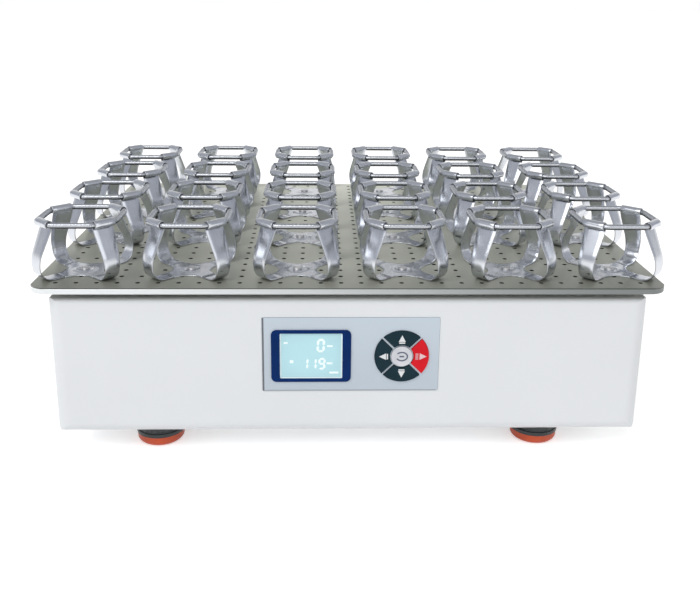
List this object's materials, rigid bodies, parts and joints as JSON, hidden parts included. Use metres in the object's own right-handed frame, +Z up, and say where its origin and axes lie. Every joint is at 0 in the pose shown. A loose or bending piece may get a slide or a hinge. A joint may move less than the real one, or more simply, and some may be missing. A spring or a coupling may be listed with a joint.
{
  "type": "orbital shaker",
  "caption": "Bench orbital shaker: a white housing with display and keys, and a perforated tray of spring flask clamps on a crank drive.",
  "frame": {"origin": "on the bench, under the middle of the tray at rest", "axes": "+X to the right seen from the front, +Y to the rear, +Z up"},
  "size_m": [0.5912, 0.446, 0.2301],
  "materials": {
    "white_coat": "satin powder coat",
    "zinc_steel": "dull",
    "collar_black": "glossy",
    "orange_rubber": "satin",
    "panel_film": "satin",
    "bezel_navy": "glossy",
    "lcd_cyan": "satin",
    "key_red": "satin",
    "key_dark": "satin",
    "key_grey": "satin",
    "board_green": "satin",
    "inlet_black": "matt",
    "rocker_black": "glossy",
    "motor_steel": "satin",
    "cast_aluminium": "turned",
    "belt_black": "matt",
    "bearing_steel": "ground",
    "machined_steel": "machined",
    "carrier_aluminium": "milled",
    "tray_aluminium": "satin anodised",
    "black_screw": "blackened",
    "bright_screw": "bright",
    "spring_wire": "bright",
    "clamp_steel": "brushed"
  },
  "bodies": {
    "base": {"housing": "white_coat", "base_pan": "zinc_steel", "foot_collars": "collar_black", "foot_pads": "orange_rubber", "control_panel": "panel_film", "display_bezel": "bezel_navy", "display": "lcd_cyan", "control_board": "board_green", "power_inlet": "inlet_black", "power_supply": "zinc_steel", "drive_motor": "motor_steel", "drive_belt": "belt_black", "bearing_housing": "cast_aluminium", "shaft_bearings": "bearing_steel", "idler_housings": "cast_aluminium", "case_fasteners": "bright_screw"},
    "crank": {"crankshaft": "machined_steel", "driven_pulley": "cast_aluminium"},
    "platform": {"carrier": "carrier_aluminium", "pin_bearings": "bearing_steel", "tray": "tray_aluminium", "tray_screws": "black_screw", "clamp_screws": "bright_screw", "garter_springs_front": "spring_wire", "garter_springs_rear": "spring_wire", "flask_clamp_r1c1": "clamp_steel", "flask_clamp_r1c2": "clamp_steel", "flask_clamp_r1c3": "clamp_steel", "flask_clamp_r1c4": "clamp_steel", "flask_clamp_r1c5": "clamp_steel", "flask_clamp_r1c6": "clamp_steel", "flask_clamp_r2c1": "clamp_steel", "flask_clamp_r2c2": "clamp_steel", "flask_clamp_r2c3": "clamp_steel", "flask_clamp_r2c4": "clamp_steel", "flask_clamp_r2c5": "clamp_steel", "flask_clamp_r2c6": "clamp_steel", "flask_clamp_r3c1": "clamp_steel", "flask_clamp_r3c2": "clamp_steel", "flask_clamp_r3c3": "clamp_steel", "flask_clamp_r3c4": "clamp_steel", "flask_clamp_r3c5": "clamp_steel", "flask_clamp_r3c6": "clamp_steel", "flask_clamp_r4c1": "clamp_steel", "flask_clamp_r4c2": "clamp_steel", "flask_clamp_r4c3": "clamp_steel", "flask_clamp_r4c4": "clamp_steel", "flask_clamp_r4c5": "clamp_steel", "flask_clamp_r4c6": "clamp_steel"},
    "motor_rotor": {"motor_pulley": "cast_aluminium"},
    "rocker": {"power_switch": "rocker_black"},
    "idler_rear_right_crank": {"idler_rear_right": "machined_steel"},
    "idler_rear_left_crank": {"idler_rear_left": "machined_steel"},
    "idler_front_left_crank": {"idler_front_left": "machined_steel"},
    "idler_front_right_crank": {"idler_front_right": "machined_steel"},
    "key_right_button": {"key_right": "key_red"},
    "key_up_button": {"key_up": "key_dark"},
    "key_left_button": {"key_left": "key_dark"},
    "key_down_button": {"key_down": "key_dark"},
    "key_centre_button": {"key_centre": "key_grey"}
  },
  "joints": [
    {"name": "crank_spin", "type": "hinge", "parent": "base", "child": "crank", "pos_m": [0, -0.01, 0.1], "axis": [0, 0, 1], "continuous": true},
    {"name": "platform_turn", "type": "hinge", "parent": "crank", "child": "platform", "pos_m": [0, 0, 0.13], "axis": [0, 0, 1], "continuous": true},
    {"name": "motor_spin", "type": "hinge", "parent": "base", "child": "motor_rotor", "pos_m": [-0.15, -0.01, 0.093], "axis": [0, 0, 1], "continuous": true},
    {"name": "rocker_tilt", "type": "hinge", "parent": "base", "child": "rocker", "pos_m": [0.152, 0.2, 0.074], "axis": [1, 0, 0], "range_deg": [0, 14]},
    {"name": "idler_rear_right_spin", "type": "hinge", "parent": "base", "child": "idler_rear_right_crank", "pos_m": [0.2, 0.12, 0.11], "axis": [0, 0, 1], "continuous": true},
    {"name": "idler_rear_left_spin", "type": "hinge", "parent": "base", "child": "idler_rear_left_crank", "pos_m": [-0.2, 0.12, 0.11], "axis": [0, 0, 1], "continuous": true},
    {"name": "idler_front_left_spin", "type": "hinge", "parent": "base", "child": "idler_front_left_crank", "pos_m": [-0.2, -0.14, 0.11], "axis": [0, 0, 1], "continuous": true},
    {"name": "idler_front_right_spin", "type": "hinge", "parent": "base", "child": "idler_front_right_crank", "pos_m": [0.2, -0.14, 0.11], "axis": [0, 0, 1], "continuous": true},
    {"name": "key_right_press", "type": "slide", "parent": "base", "child": "key_right_button", "axis": [0, 1, 0], "range_m": [0, 0.0006], "stiffness_N_per_m": 300, "springref_m": -0.001},
    {"name": "key_up_press", "type": "slide", "parent": "base", "child": "key_up_button", "axis": [0, 1, 0], "range_m": [0, 0.0006], "stiffness_N_per_m": 300, "springref_m": -0.001},
    {"name": "key_left_press", "type": "slide", "parent": "base", "child": "key_left_button", "axis": [0, 1, 0], "range_m": [0, 0.0006], "stiffness_N_per_m": 300, "springref_m": -0.001},
    {"name": "key_down_press", "type": "slide", "parent": "base", "child": "key_down_button", "axis": [0, 1, 0], "range_m": [0, 0.0006], "stiffness_N_per_m": 300, "springref_m": -0.001},
    {"name": "key_centre_press", "type": "slide", "parent": "base", "child": "key_centre_button", "axis": [0, 1, 0], "range_m": [0, 0.0006], "stiffness_N_per_m": 300, "springref_m": -0.001}
  ],
  "couplings": [
    {"joint": "platform_turn", "follows": "crank_spin", "ratio": -1},
    {"joint": "motor_spin", "follows": "crank_spin", "ratio": 3.2222},
    {"joint": "idler_rear_right_spin", "follows": "crank_spin", "ratio": 1},
    {"joint": "idler_rear_left_spin", "follows": "crank_spin", "ratio": 1},
    {"joint": "idler_front_left_spin", "follows": "crank_spin", "ratio": 1},
    {"joint": "idler_front_right_spin", "follows": "crank_spin", "ratio": 1}
  ]
}
